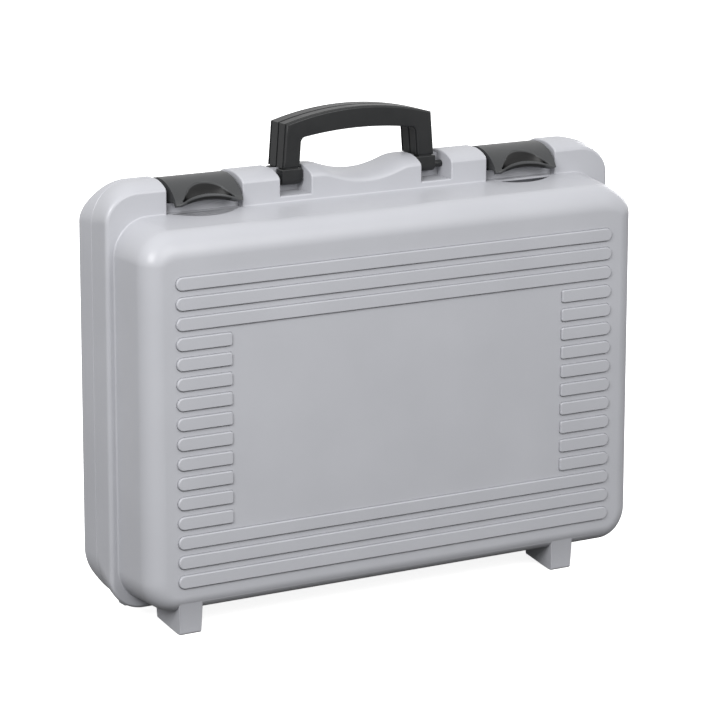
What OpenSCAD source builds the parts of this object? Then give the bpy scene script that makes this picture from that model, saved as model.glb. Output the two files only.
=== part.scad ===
// Hard tool case: two moulded trays hinged along the bottom, two snap
// latches on top and a carrying handle made of two folding halves.
// X runs along the width, the front panel faces -Y, Z is up.
// The origin lies on the floor, under the middle of the case.

/* [Body] */
// Width of both trays, without the rim
body_w = 478; // [420:1:560]
// Height of both trays, without rim and feet
body_h = 320; // [280:1:400]
// Depth of the front tray, parting plane to front panel
front_d = 80.5; // [70:0.5:120]
// Depth of the rear tray, parting plane to rear panel
rear_d = 44.5; // [42:0.5:80]
// Wall thickness of both trays
wall = 2.6; // [2:0.1:3.2]
// Corner radius of the trays at the top
body_r_top = 36; // [32:1:44]
// Corner radius of the trays at the bottom
body_r_low = 42; // [34:1:48]
// Corner radius at the bottom of the front panel
panel_r_low = 28; // [26:1:42]
// Rounding from front panel to the sides
edge_r = 17; // [14:1:26]
// Rounding from front panel to the top
edge_r_top = 22; // [16:1:28]
// Rounding from front panel to the underside
edge_r_low = 14; // [10:1:20]
// Rounding of the rear panel edges
rear_edge_r = 14; // [10:1:16]
// How far the top slopes down from the rim to the rounding of the panel
top_fall = 4.6; // [0:0.2:6]

/* [Rim] */
// How far the rim stands out at the sides
rim_side = 7; // [4:0.5:9]
// How far the rim stands out at the top
rim_top = 27.5; // [26:0.5:32]
// How far the rim stands out at the bottom
rim_low = 11.5; // [9:0.5:14]
// Depth of the front half of the rim
rim_d = 26; // [24:0.5:30]
// Depth of the rear half of the rim
rim_rear_d = 24.5; // [24:0.5:28]
// Radius of the rounded top and bottom of the rim, seen from the side
crown_r = 25; // [24:0.5:32]
// Flat part of the rim top beside the parting plane
crown_flat = 5.5; // [3:0.5:8]
// Flat part of the rim top behind the parting plane
rear_crown_flat = 2; // [1:0.5:6]
// Rounding of the rim edge at the sides
rim_edge_r = 1.5; // [1.5:0.5:4]
// Corner radius of the rim at the top
rim_r_top = 35; // [32:1:44]
// Corner radius at the top of the front edge of the rim
rim_front_r_top = 30; // [28:1:40]
// Corner radius of the rim at the bottom
rim_r_low = 48; // [42:1:56]
// Corner radius at the bottom of the front edge of the rim
rim_front_r_low = 29; // [26:1:44]

/* [Panel ribs] */
// Number of full-width rows at the top, and again at the bottom
rib_long_rows = 3; // [1:1:4]
// Spacing of the rows
rib_pitch = 16.5; // [14:0.1:17]
// Width of one rib at its foot
rib_w = 10.9; // [8:0.1:12]
// Height of the ribs above the panel
rib_h = 1.8; // [1:0.1:2.5]
// Slope of the rib flanks, seen across the rib
rib_bevel = 1; // [0.4:0.1:1.6]
// Plain margin between rib ends and tray sides
rib_margin = 26.6; // [24:0.2:40]
// Length of the short ribs
rib_short = 50.9; // [30:0.5:70]
// Height of the lowest row above the underside of the trays
rib_first = 26.5; // [24:0.5:40]
// Plain margin between the highest row and the tray top
rib_last = 40; // [36:1:60]

/* [Feet] */
// Height of the feet below the trays
foot_h = 19.5; // [15:0.5:26]
// Width of a foot where it joins the tray
foot_w = 23; // [16:0.5:30]
// Width of a foot on the floor
foot_low_w = 20; // [14:0.5:28]
// Distance of the left feet from the side of the trays, to their middle
foot_left_inset = 39; // [33:1:80]
// Distance of the right feet from the side of the trays, to their middle
foot_right_inset = 72; // [40:1:90]
// Setback of the front feet from the front panel
foot_setback = 3; // [2:0.5:8]
// Depth of the front feet
foot_d = 40; // [30:1:48]
// Depth of the rear feet
rear_foot_d = 12; // [8:0.5:16]
// Rise of the underside of the front feet towards the rim
foot_rise = 5.7; // [0:0.1:8]

/* [Handle] */
// Distance between the middles of the two handle pockets
grip_pitch = 138; // [120:1:160]
// Width of a handle pocket
grip_pocket_w = 30; // [26:0.5:36]
// Floor of the handle pockets above the tray top
grip_floor = 5.5; // [3:0.5:7]
// Height of the handle pivots above the tray top
grip_pivot_h = 16.6; // [15:0.1:18]
// Distance of the handle pivots from the parting plane
grip_pivot_d = 8.7; // [8.7:0.1:10]
// Radius of the knuckle at the foot of a handle leg
knuckle_r = 5.3; // [4.6:0.1:5.3]
// Height of the shoulder of a handle leg above its pivot
grip_shoulder = 9.4; // [8.6:0.1:12]
// Width of the knuckle
knuckle_w = 19.5; // [14:0.5:22]
// Rise of the handle from its pivot to the top of the grip
grip_rise = 55.8; // [50:0.2:70]
// Height of the grip bar in the middle
grip_bar = 17.7; // [14:0.1:24]
// Radius of the arched top of the grip
grip_top_r = 262; // [200:1:400]
// Radius of the arched underside of the grip
grip_under_r = 350; // [300:1:500]
// Width of a handle leg
leg_w = 15.5; // [12:0.5:17]
// Thickness of one half of the handle
grip_t = 13.2; // [11:0.1:14]
// Gap between each handle half and the parting plane
grip_gap = 1; // [0.5:0.1:1.5]
// Depth of the groove round the handle
groove = 1.2; // [0.6:0.1:2]
// Diameter of the handle pins
grip_pin_d = 4.5; // [3.5:0.1:5]
// Depth of the hollow for the hand between the handle pockets
dish_depth = 8.5; // [5:0.5:10]
// Radius of that hollow
dish_r = 89; // [70:1:100]

/* [Latches] */
// Distance of a latch from the side of the trays, to its middle
latch_inset = 84; // [80:1:92]
// Width of a latch
latch_w = 62; // [50:0.5:64]
// Width of a latch pocket
latch_pocket_w = 70.5; // [68:0.5:74]
// Thickness of the latch panel
latch_t = 3; // [2.4:0.1:3.4]
// Height of the latch top above the tray top
latch_top = 26.8; // [26:0.1:27.5]
// Radius of the curved front of the latch
latch_r = 31; // [29:0.5:33]
// Radius of the latch top behind its crest
latch_rear_r = 38; // [38:0.5:44]
// Distance of the latch pivot behind the parting plane
latch_pivot_d = 17.5; // [16:0.1:18]
// Height of the latch pivot above the tray top
latch_pivot_h = 11; // [10.5:0.1:12]
// Radius of the latch barrel
barrel_r = 5.5; // [4.5:0.1:5.8]
// Diameter of the latch pins
latch_pin_d = 4; // [3:0.1:5]
// Height of the ledge under the latch, above the tray top
ledge_h = 8.2; // [6:0.1:8.6]
// Distance of the ledge front from the parting plane
ledge_d = 18; // [16:0.5:20]
// Height of the keeper on the ledge
keeper_h = 6; // [4:0.1:7]
// Gap between latch hook and keeper
hook_gap = 0.6; // [0.5:0.05:1]
// Depth of the finger hollow in front of a latch
scoop_depth = 5; // [2:0.5:6]
// How far that hollow reaches in front of the rim
scoop_d = 12.5; // [9:0.5:16]

/* [Hinges] */
// Distance of a hinge from the side of the trays, to its middle
hinge_inset = 127; // [90:1:150]
// Width of one hinge knuckle
hinge_w = 12; // [9:0.5:14]
// Outer radius of the hinge knuckles
hinge_r = 3.4; // [3:0.1:3.8]
// Diameter of the hinge pins
hinge_pin_d = 2.5; // [2:0.1:3]

/* [Fits] */
// Radial clearance of every pin in its bore
pin_fit = 0.05; // [0.03:0.01:0.1]
// Clearance beside parts that turn
side_gap = 0.4; // [0.3:0.05:0.6]
// Height of the locating lip at the parting plane
lip_h = 3; // [2:0.5:4]
// Thickness of the locating lip
lip_t = 1.6; // [1.2:0.1:2]
// Clearance of the locating lip
lip_gap = 0.5; // [0.5:0.05:0.8]

/* [Hidden] */
$fn = 48;
eps = 0.5;
body_x = body_w / 2;
body_lo = foot_h;
body_hi = foot_h + body_h;
rim_x = body_x + rim_side;
rim_lo = body_lo - rim_low;
rim_hi = body_hi + rim_top;
// the bounding box is centred on Y = 0, front ribs to rear ribs
part_y = (front_d - rear_d) / 2;
corner_steps = 8;
// depth, flat part of the crown, corner radii of the outer edge at the bottom and top
front_rim = [rim_d, crown_flat, rim_front_r_low, rim_front_r_top];
rear_rim = [rim_rear_d, rear_crown_flat, rim_r_low, rim_r_top];
foot_left_x = foot_left_inset - body_x;
foot_right_x = body_x - foot_right_inset;
latch_pitch = body_w - 2 * latch_inset;
hinge_pitch = body_w - 2 * hinge_inset;
rib_rows = 1 + floor((body_h - rib_first - rib_last) / rib_pitch);
rim_relief = 1.6;
relief_d = 6;
seam = 0.5;
hinge_z = rim_lo + rim_relief - 0.3;
hinge_count = 5;
hinge_len = hinge_count * hinge_w;
boss = 6;
grip_z = body_hi + grip_pivot_h;
latch_z = body_hi + latch_pivot_h;
cheek_t = 2.6;
latch_cy = -6;
tab_w = 6.5;
lip_drop = 8;
lip_arch = 3.6;
bead = 1;
bead_h = 3.4;
scoop_len = latch_w + 4;
scoop_r = 14;
scoop_out_r = (latch_w * latch_w / 4 + scoop_d * scoop_d) / (2 * scoop_d);

function pin_bore(d) = d / 2 + pin_fit;
function blend(a, b, f) = a + (b - a) * max(0, min(1, f));
function arc_inset(r, t) = t <= 0 ? 0 : r - sqrt(max(0, r * r - t * t));
function corner(cx, cz, rx, rz, a0, n) =
  [for (i = [0:n]) let (a = a0 + 90 * i / n) [cx + rx * cos(a), cz + rz * sin(a)]];
// One ring of a rounded rectangle: side, top and bottom move in by their own amounts
function ring(y, hx, lo, hi, r_lo, r_hi, side, top, low, n) =
  [for (p = concat(
      corner(hx - r_hi, hi - r_hi, r_hi - side, r_hi - top, 0, n),
      corner(r_hi - hx, hi - r_hi, r_hi - side, r_hi - top, 90, n),
      corner(r_lo - hx, lo + r_lo, r_lo - side, r_lo - low, 180, n),
      corner(hx - r_lo, lo + r_lo, r_lo - side, r_lo - low, 270, n)))
    [p[0], y, p[1]]];

// Closed body through rings that follow each other along +Y
module loft(rings) {
  n = len(rings[0]);
  m = len(rings);
  sides = [for (i = [0:m - 2], j = [0:n - 1], k = [0, 1])
    let (a = i * n + j, b = i * n + (j + 1) % n)
    k == 0 ? [a, b, b + n] : [a, b + n, a + n]];
  polyhedron(
    points = [for (r = rings, p = r) p],
    faces = concat(sides,
      [[for (j = [n - 1:-1:0]) j]],
      [[for (j = [0:n - 1]) (m - 1) * n + j]]));
}

// Box between two corners
module span(a, b) {
  translate(a) cube(b - a);
}

// Outline drawn in Y and Z, extruded along X about its middle
module along_x(length) {
  rotate([90, 0, 90]) linear_extrude(height = length, center = true) children();
}

// Round bar along X
module bar_x(x0, x1, y, z, r) {
  translate([x0, y, z]) rotate([0, 90, 0]) cylinder(h = x1 - x0, r = r);
}

// Tray body from the panel to just inside the rim; t shrinks it to the inner wall
module tray(depth, radii, rim_depth, back, t) {
  r_panel = radii[3];
  steps = 6;
  side = radii[0] - t;
  top = radii[1] - t;
  low = radii[2] - t;
  front = depth - t;
  reach = max(side, top, low);
  cuts = [for (i = [0:steps]) reach * (1 - cos(90 * i / steps))];
  rings = [for (c = cuts)
    ring(c - front, body_x - t, body_lo + t, body_hi - t, r_panel - t, body_r_top - t,
      arc_inset(side, side - c), arc_inset(top, top - c) + top_fall,
      arc_inset(low, low - c), corner_steps)];
  inside = [for (y = [-rim_depth, back])
    ring(y, body_x - t, body_lo + t, body_hi - t,
      blend(body_r_low, r_panel, -y / rim_depth) - t, body_r_top - t, 0, 0, 0, corner_steps)];
  loft(concat(rings, inside));
}

// Rim of one tray; t shrinks it to the inside of its outer wall
module rim(form, t, back) {
  depth = form[0];
  flat = form[1];
  marks = t > 0
    ? [0.62 * depth, 0.8 * depth, depth - t]
    : [seam, relief_d / 2, relief_d, relief_d + 3.5, 0.5 * depth, 0.62 * depth,
       0.75 * depth, 0.87 * depth, depth - 0.4 * rim_edge_r, depth];
  rings = [for (i = [len(marks) - 1:-1:0])
    let (d = marks[i],
         u = arc_inset(crown_r, d - flat),
         s = t > 0 ? 0 : arc_inset(rim_edge_r, d - depth + rim_edge_r),
         low = t > 0 ? 0.7 * u : max(0.7 * u, rim_relief * pow(max(0, 1 - d / relief_d), 2)))
    ring(-d, rim_x - t, rim_lo + t, rim_hi - t,
      blend(rim_r_low, form[2], d / depth) - t, blend(rim_r_top, form[3], d / depth) - t,
      s, u, low, corner_steps)];
  face = t > 0
    ? ring(back, rim_x - t, rim_lo + t, rim_hi - t,
        rim_r_low - t, rim_r_top - t, 0, 0, 0, corner_steps)
    : ring(0, rim_x, rim_lo, rim_hi, rim_r_low, rim_r_top,
        seam, seam, rim_relief, corner_steps);
  loft(concat(rings, [face]));
}

// Hollow for the hand: a barrel that keeps the rounded profile of the rim
module dish(form, grow) {
  depth = form[0];
  flat = form[1];
  r0 = dish_r + grow;
  marks = [0, flat, 0.4 * depth, 0.6 * depth, 0.8 * depth, 0.9 * depth, depth];
  edge = r0 + arc_inset(crown_r, depth - flat);
  profile = concat(
    [[0, -eps], [r0, -eps]],
    [for (d = marks) [r0 + arc_inset(crown_r, d - flat), d]],
    [[edge, depth + eps], [0, depth + eps]]);
  translate([0, 0, rim_hi - dish_depth + dish_r])
    rotate([90, 0, 0]) rotate_extrude($fn = 180) polygon(profile);
}

// Hollow of the rim between its two walls, left out beside the pockets
module rim_hollow(form, r_panel) {
  depth = form[0];
  pockets = [
    [0, grip_pitch / 2 - grip_pocket_w / 2 - boss],
    [grip_pitch / 2 + grip_pocket_w / 2 + boss, latch_pitch / 2 - latch_pocket_w / 2 - boss],
    [latch_pitch / 2 + latch_pocket_w / 2 + boss, rim_x]];
  rib_gap = 46;
  rib_t = 1.8;
  difference() {
    intersection() {
      rim(form, wall, eps);
      union() {
        span([-rim_x, -depth, rim_lo], [rim_x, eps, body_hi - body_r_top]);
        for (p = pockets, s = [-1, 1])
          span([min(s * p[0], s * p[1]), -depth, body_hi - body_r_top - eps],
               [max(s * p[0], s * p[1]), eps, rim_hi]);
      }
    }
    tray(depth + edge_r, [wall, wall, wall, r_panel], depth, 2 * eps, 0);
    dish(form, wall);
    for (i = [-4:4])
      span([i * rib_gap - rib_t / 2, -depth, rim_lo - eps],
           [i * rib_gap + rib_t / 2, 2 * eps, body_lo + eps]);
    for (i = [1:6], s = [-1, 1])
      span([s * rim_x - 2 * rim_side, -depth, body_lo + i * rib_gap - rib_t / 2],
           [s * rim_x + 2 * rim_side, 2 * eps, body_lo + i * rib_gap + rib_t / 2]);
    for (s = [-1, 1])
      span([s * rib_gap / 2 - rib_t / 2, -depth, body_hi],
           [s * rib_gap / 2 + rib_t / 2, 2 * eps, rim_hi]);
    hinge_blocks();
  }
}

// One raised rib: a bevelled bar with round ends where they are wanted
module rib(x0, x1, z, round_left, round_right) {
  half = rib_w / 2;
  a = round_left ? x0 + half : x0;
  b = round_right ? x1 - half : x1;
  translate([(a + b) / 2, 0, z]) along_x(b - a)
    polygon([[eps, -half], [0, -half], [-rib_h, rib_bevel - half],
             [-rib_h, half - rib_bevel], [0, half], [eps, half]]);
  for (e = [[a, round_left], [b, round_right]])
    if (e[1]) {
      translate([e[0], 0, z]) rotate([90, 0, 0])
        cylinder(h = rib_h, r1 = half, r2 = half - rib_bevel);
      translate([e[0], eps, z]) rotate([90, 0, 0]) cylinder(h = eps, r = half);
    }
}

module panel_ribs(depth) {
  end_x = body_x - rib_margin;
  for (i = [0:rib_rows - 1]) {
    z = body_lo + rib_first + i * rib_pitch;
    translate([0, -depth, 0])
      if (i < rib_long_rows || i >= rib_rows - rib_long_rows)
        rib(-end_x, end_x, z, true, true);
      else {
        rib(-end_x, rib_short - end_x, z, true, false);
        rib(end_x - rib_short, end_x, z, false, true);
      }
  }
}

// Solid ground in the rim for the hinge knuckles
module hinge_blocks() {
  for (s = [-1, 1])
    span([s * hinge_pitch / 2 - hinge_len / 2 - wall, -relief_d - wall, hinge_z + 0.6],
         [s * hinge_pitch / 2 + hinge_len / 2 + wall, 0, body_lo + eps]);
}

// Knuckles first, first + 2, ... of both hinges; grow widens them for the relief cut
module knuckles(first, r, gap) {
  for (s = [-1, 1], k = [first:2:hinge_count - 1])
    translate([s * hinge_pitch / 2 - hinge_len / 2 + k * hinge_w + gap, 0, 0])
      bar_x(0, hinge_w - 2 * gap, 0, hinge_z, r);
}

module hinge_bores() {
  for (s = [-1, 1])
    bar_x(s * hinge_pitch / 2 - hinge_len / 2 - eps, s * hinge_pitch / 2 + hinge_len / 2 + eps,
      0, hinge_z, pin_bore(hinge_pin_d));
}

// Pockets for the handle legs, closed towards the parting plane
module grip_pockets(depth) {
  for (s = [-1, 1]) {
    x = s * grip_pitch / 2;
    span([x - grip_pocket_w / 2, -depth - eps, body_hi + grip_floor],
         [x + grip_pocket_w / 2, -wall, rim_hi + eps]);
    span([x - grip_pocket_w / 2, -wall - eps, rim_hi - 2.5],
         [x + grip_pocket_w / 2, eps, rim_hi + eps]);
    bar_x(x - grip_pocket_w / 2 - 0.7 * boss, x + grip_pocket_w / 2 + 0.7 * boss,
      -grip_pivot_d, grip_z, pin_bore(grip_pin_d));
  }
}

// Lip that locates the two trays, just inside the wall of the front tray
module locating_lip() {
  outer = wall + lip_gap;
  inner = outer + lip_t;
  difference() {
    loft([for (y = [-lip_h, eps])
      ring(y, body_x - outer, body_lo + outer, body_hi - outer,
        body_r_low - outer, body_r_top - outer, 0, 0, 0, corner_steps)]);
    loft([for (y = [-lip_h - eps, 2 * eps])
      ring(y, body_x - inner, body_lo + inner, body_hi - inner,
        body_r_low - inner, body_r_top - inner, 0, 0, 0, corner_steps)]);
  }
  // root of the lip on the wall behind the parting plane
  difference() {
    loft([for (y = [0, lip_h])
      ring(y, body_x - wall / 2, body_lo + wall / 2, body_hi - wall / 2,
        body_r_low - wall / 2, body_r_top - wall / 2, 0, 0, 0, corner_steps)]);
    loft([for (y = [-eps, lip_h + eps])
      ring(y, body_x - inner, body_lo + inner, body_hi - inner,
        body_r_low - inner, body_r_top - inner, 0, 0, 0, corner_steps)]);
  }
}

// A foot between two depths, seen from the side as the given outline
module foot(x, y0, y1, outline) {
  intersection() {
    translate([x, 0, 0]) along_x(foot_w + eps) polygon(outline);
    translate([x, y1 + eps, 0]) rotate([90, 0, 0]) linear_extrude(height = y1 - y0 + 2 * eps)
      polygon([[-foot_low_w / 2, 0], [foot_low_w / 2, 0],
               [foot_w / 2, foot_h + edge_r], [-foot_w / 2, foot_h + edge_r]]);
  }
}

module front_feet() {
  y0 = foot_setback - front_d;
  top = body_lo + 0.6 * edge_r_low;
  flat = 6;
  for (x = [foot_left_x, foot_right_x])
    foot(x, y0 - 2, y0 + foot_d,
      [[y0, 1.2], [y0 + 1.2, 0], [y0 + flat, 0], [y0 + foot_d, foot_rise],
       [y0 + foot_d + 1, body_lo + wall / 2], [y0 + 0.4 * foot_d, body_lo + wall / 2],
       [y0 + 2, top], [y0 - 1.2, top]]);
}

// Rear feet are cored from the rim side, with a rib across the core
module rear_feet() {
  y1 = 4 - rim_rear_d;
  y0 = y1 - rear_foot_d;
  for (x = [foot_left_x, foot_right_x])
    difference() {
      foot(x, y0 - 2, y1,
        [[y0, 1.2], [y0 + 1.2, 0], [y1, 0], [y1, rim_lo + 2.5 * wall],
         [y1 - 5, body_lo + wall / 2], [y0, body_lo + wall / 2]]);
      span([x - foot_low_w / 2 + 2, y0 + 3, 1.8], [x + foot_low_w / 2 - 2, y1 + eps, 4]);
      span([x - foot_low_w / 2 + 2, y0 + 3, 5.4], [x + foot_low_w / 2 - 2, y1 + eps, rim_lo + 2]);
    }
}

// Everything both trays share: panel, rim, cavity, ribs and handle pockets
module tray_shell(depth, radii, form) {
  rim_depth = form[0];
  difference() {
    union() {
      difference() {
        union() {
          tray(depth, radii, rim_depth, -rim_depth / 2, 0);
          rim(form, 0, 0);
        }
        tray(depth, radii, rim_depth, eps, wall);
        rim_hollow(form, radii[3]);
        dish(form, 0);
      }
      hinge_blocks();
      panel_ribs(depth);
    }
    grip_pockets(rim_depth);
  }
}

// Room for one latch in the front tray: a ledge with its keeper, open to the front
module latch_seat_front(x) {
  w = latch_pocket_w / 2;
  difference() {
    span([x - w, -rim_d - eps, body_hi], [x + w, eps, rim_hi + eps]);
    span([x - w - eps, -ledge_d, body_hi - eps], [x + w + eps, 2 * eps, body_hi + ledge_h]);
    span([x - keeper_w() / 2, -ledge_d, body_hi], [x + keeper_w() / 2, 2 * eps,
      body_hi + ledge_h + keeper_h]);
  }
  // core under the ledge
  span([x - w + wall, -ledge_d + wall, body_hi], [x + w - wall, eps, body_hi + ledge_h - wall]);
  // finger hollow in the top of the tray
  intersection() {
    bar_x(x - scoop_len / 2, x + scoop_len / 2, -rim_d - 5.5,
      body_hi + scoop_r - scoop_depth, scoop_r);
    span([x - w, -rim_d - 4 * scoop_r, body_hi - scoop_r],
         [x + w, -rim_d, body_hi + eps]);
    translate([x, scoop_out_r - rim_d - scoop_d, body_hi - scoop_r])
      cylinder(h = 2 * scoop_r, r = scoop_out_r, $fn = 120);
  }
}

function keeper_w() = latch_w - 2 * cheek_t - 10;

// Room for one latch in the rear tray, open to the rear, with its pin holes
module latch_seat_rear(x) {
  w = latch_pocket_w / 2;
  span([x - w, -rim_rear_d - eps, latch_z - barrel_r - 1.5], [x + w, eps, rim_hi + eps]);
  bar_x(x - w - 0.7 * boss, x + w + 0.7 * boss, -latch_pivot_d, latch_z,
    pin_bore(latch_pin_d));
}

// Thicker wall under the finger hollow
module scoop_pad(x) {
  r = scoop_r + wall;
  intersection() {
    bar_x(x - scoop_len / 2 - wall, x + scoop_len / 2 + wall, -rim_d - 5.5,
      body_hi + scoop_r - scoop_depth, r);
    span([x - scoop_len, -rim_d - 2 * r, body_hi - scoop_r],
         [x + scoop_len, -rim_d + 2 * r, body_hi - wall / 2]);
  }
}

module front_shell() color("#b9bdc2") translate([0, part_y, 0]) {
  difference() {
    union() {
      difference() {
        union() {
          tray_shell(front_d, [edge_r, edge_r_top, edge_r_low, panel_r_low], front_rim);
          for (s = [-1, 1])
            scoop_pad(s * latch_pitch / 2);
        }
        for (s = [-1, 1])
          latch_seat_front(s * latch_pitch / 2);
        knuckles(1, hinge_r + side_gap, -side_gap);
      }
      knuckles(0, hinge_r, side_gap / 2);
      front_feet();
    }
    hinge_bores();
    knuckles(1, hinge_r + side_gap, side_gap);
  }
}

module rear_shell() color("#b9bdc2") translate([0, part_y, 0]) mirror([0, 1, 0]) {
  difference() {
    union() {
      difference() {
        tray_shell(rear_d, [rear_edge_r + 1, rear_edge_r, rear_edge_r, body_r_low], rear_rim);
        for (s = [-1, 1])
          latch_seat_rear(s * latch_pitch / 2);
        knuckles(0, hinge_r + side_gap, -side_gap);
      }
      knuckles(1, hinge_r, side_gap / 2);
      rear_feet();
    }
    hinge_bores();
  }
  mirror([0, 1, 0]) locating_lip();
}

// Front outline of the handle, pivot height at 0; cut makes the grooved core
module grip_outline(cut) {
  half = grip_pitch / 2 + 1.7;
  top = grip_rise - cut;
  spread = 3;
  inner_x = half + 1.5 - leg_w;
  inner_r = 5;
  low = grip_shoulder;
  difference() {
    intersection() {
      polygon([[-half - spread + cut, low], [-half + cut, grip_rise],
               [half - cut, grip_rise], [half + spread - cut, low]]);
      translate([0, top - grip_top_r]) circle(r = grip_top_r, $fn = 360);
    }
    intersection() {
      translate([0, grip_rise - grip_bar - grip_under_r]) circle(r = grip_under_r, $fn = 360);
      union() {
        translate([-inner_x, low - eps])
          square([2 * inner_x, grip_rise - grip_bar - low - inner_r - 3]);
        translate([inner_r - inner_x, low - eps])
          square([2 * (inner_x - inner_r), grip_rise]);
        for (s = [-1, 1])
          translate([s * (inner_x - inner_r), grip_rise - grip_bar - inner_r - 3 - eps])
            circle(r = inner_r);
      }
    }
  }
}

// One half of the handle, standing upright against the parting plane
module handle_half() {
  plate = 2;
  slot = 1.6;
  layers = [[grip_gap, grip_t, groove],
            [grip_gap, grip_t - plate - slot, 0],
            [grip_gap + grip_t - plate, plate, 0]];
  difference() {
    union() {
      translate([0, 0, grip_z])
        for (l = layers)
          translate([0, -l[0], 0]) rotate([90, 0, 0]) linear_extrude(height = l[1])
            grip_outline(l[2]);
      for (s = [-1, 1])
        translate([s * knuckle_x(), -grip_pivot_d, grip_z]) along_x(knuckle_w) {
          circle(r = knuckle_r);
          translate([-knuckle_r, 0]) square([2 * knuckle_r, grip_shoulder - 1]);
        }
      for (s = [-1, 1])
        translate([s * knuckle_x(), -grip_pivot_d, grip_z]) along_x(leg_w - 3)
          translate([1 - knuckle_r, grip_shoulder - 3]) square([2 * knuckle_r - 2, 5]);
    }
    for (s = [-1, 1]) {
      x = s * knuckle_x();
      bar_x(x - knuckle_w / 2 - eps, x + knuckle_w / 2 + eps, -grip_pivot_d, grip_z,
        pin_bore(grip_pin_d));
    }
  }
}

function knuckle_x() = grip_pitch / 2 - 3.3;

module front_handle() color("#2e3032") translate([0, part_y, 0]) handle_half();

module rear_handle() color("#2e3032") translate([0, part_y, 0]) mirror([0, 1, 0]) handle_half();

module grip_pin(s) {
  x = s * grip_pitch / 2;
  reach = grip_pocket_w / 2 + 0.65 * boss;
  bar_x(x - reach, x + reach, -grip_pivot_d, grip_z, grip_pin_d / 2);
}

module front_handle_pin_left() color("#3a3c3e") translate([0, part_y, 0]) grip_pin(-1);

module front_handle_pin_right() color("#3a3c3e") translate([0, part_y, 0]) grip_pin(1);

module rear_handle_pin_left() color("#3a3c3e") translate([0, part_y, 0])
  mirror([0, 1, 0]) grip_pin(-1);

module rear_handle_pin_right() color("#3a3c3e") translate([0, part_y, 0])
  mirror([0, 1, 0]) grip_pin(1);

// Side outline of the latch, tray top at 0; t shrinks it to the inner face
module latch_outline(t) {
  rear_r = latch_rear_r - t;
  rear_y = latch_pivot_d + barrel_r - t;
  r = latch_r - t;
  z0 = latch_top - latch_r;
  a0 = 180 - asin((lip_drop - z0) / r);
  a1 = acos((rear_y - latch_cy) / rear_r);
  n = 14;
  polygon(concat(
    [for (i = [0:n]) let (a = a0 + (90 - a0) * i / n) [latch_cy + r * cos(a), z0 + r * sin(a)]],
    [for (i = [1:10]) let (a = 90 - (90 - a1) * i / 10)
      [latch_cy + rear_r * cos(a), latch_top - latch_rear_r + rear_r * sin(a)]],
    [[rear_y, lip_drop]]));
}

// Latch about its own middle, closed
module latch() {
  half = latch_w / 2;
  inner_w = latch_w - 2 * cheek_t;
  arch_x = half - tab_w;
  arch_r = (arch_x * arch_x + lip_arch * lip_arch) / (2 * lip_arch);
  cut_y = -ledge_d - 8;
  hook_y = -ledge_d - hook_gap;
  hook_t = 3.2;
  difference() {
    union() {
      difference() {
        along_x(latch_w) latch_outline(0);
        along_x(inner_w) latch_outline(latch_t);
        // cheeks end above the ledge
        span([-half - 1, hook_y - hook_t - 1, 0], [half + 1, 2 * latch_r, ledge_h + 1.3]);
        // free the barrel behind
        span([-half - 1, latch_pivot_d - barrel_r - 1.5, 0],
             [half + 1, 2 * latch_r, latch_pivot_h + 0.5]);
      }
      // barrel for the pin on each cheek
      for (s = [-1, 1])
        translate([s * (half - cheek_t / 2), latch_pivot_d, latch_pivot_h])
          along_x(cheek_t) {
            circle(r = barrel_r);
            translate([1 - barrel_r, 0]) square([2 * barrel_r - 4, 3]);
          }
      // hook in front of the keeper, hung from the panel
      intersection() {
        along_x(keeper_w()) latch_outline(latch_t / 2);
        span([-half, hook_y - hook_t, ledge_h + 1.3], [half, hook_y, latch_top]);
      }
      // stiffening ribs across the panel
      for (x = [-1, 0, 1])
        intersection() {
          translate([x * keeper_w() / 3, 0, 0]) along_x(1.8) latch_outline(latch_t / 2);
          span([-half, hook_y - hook_t / 2, ledge_h + keeper_h + 1.2],
               [half, latch_pivot_d - barrel_r - 2, latch_top]);
        }
      // bead along the front edge
      intersection() {
        along_x(latch_w - 1) difference() {
          translate([latch_cy, latch_top - latch_r]) circle(r = latch_r + bead, $fn = 120);
          translate([latch_cy, latch_top - latch_r])
            circle(r = latch_r - latch_t / 2, $fn = 120);
        }
        span([-half, -2 * latch_r, lip_drop + 0.4], [half, cut_y, lip_drop + lip_arch + bead_h]);
      }
    }
    // arched front edge between the two tabs
    translate([0, cut_y, lip_drop + lip_arch - arch_r]) rotate([90, 0, 0])
      cylinder(h = 2 * latch_r, r = arch_r, $fn = 180);
    bar_x(-half - 1, half + 1, latch_pivot_d, latch_pivot_h, pin_bore(latch_pin_d));
  }
}

module place_latch(s) {
  translate([s * latch_pitch / 2, part_y, body_hi]) latch();
}

module latch_left() color("#3c3e40") place_latch(-1);

module latch_right() color("#3c3e40") place_latch(1);

module latch_pin(s) {
  x = s * latch_pitch / 2;
  reach = latch_pocket_w / 2 + 0.65 * boss;
  translate([0, part_y, 0])
    bar_x(x - reach, x + reach, latch_pivot_d, latch_z, latch_pin_d / 2);
}

module latch_pin_left() color("#8f9498") latch_pin(-1);

module latch_pin_right() color("#8f9498") latch_pin(1);

module hinge_pin(s) {
  x = s * hinge_pitch / 2;
  translate([0, part_y, 0])
    bar_x(x - hinge_len / 2, x + hinge_len / 2, 0, hinge_z, hinge_pin_d / 2);
}

module hinge_pin_left() color("#8f9498") hinge_pin(-1);

module hinge_pin_right() color("#8f9498") hinge_pin(1);

front_shell();
rear_shell();
hinge_pin_left();
hinge_pin_right();
front_handle();
rear_handle();
front_handle_pin_left();
front_handle_pin_right();
rear_handle_pin_left();
rear_handle_pin_right();
latch_left();
latch_right();
latch_pin_left();
latch_pin_right();
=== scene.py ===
# %% [markdown]
# # A hard tool case
# The case is two moulded plastic trays, hinged along the bottom, with two snap
# latches and a handle in two folding halves. The CAD model gives every place and
# size. This script dresses it: it rebuilds the smooth moulded forms with fine
# meshes, gives each finish its material, and sets the studio.

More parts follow.
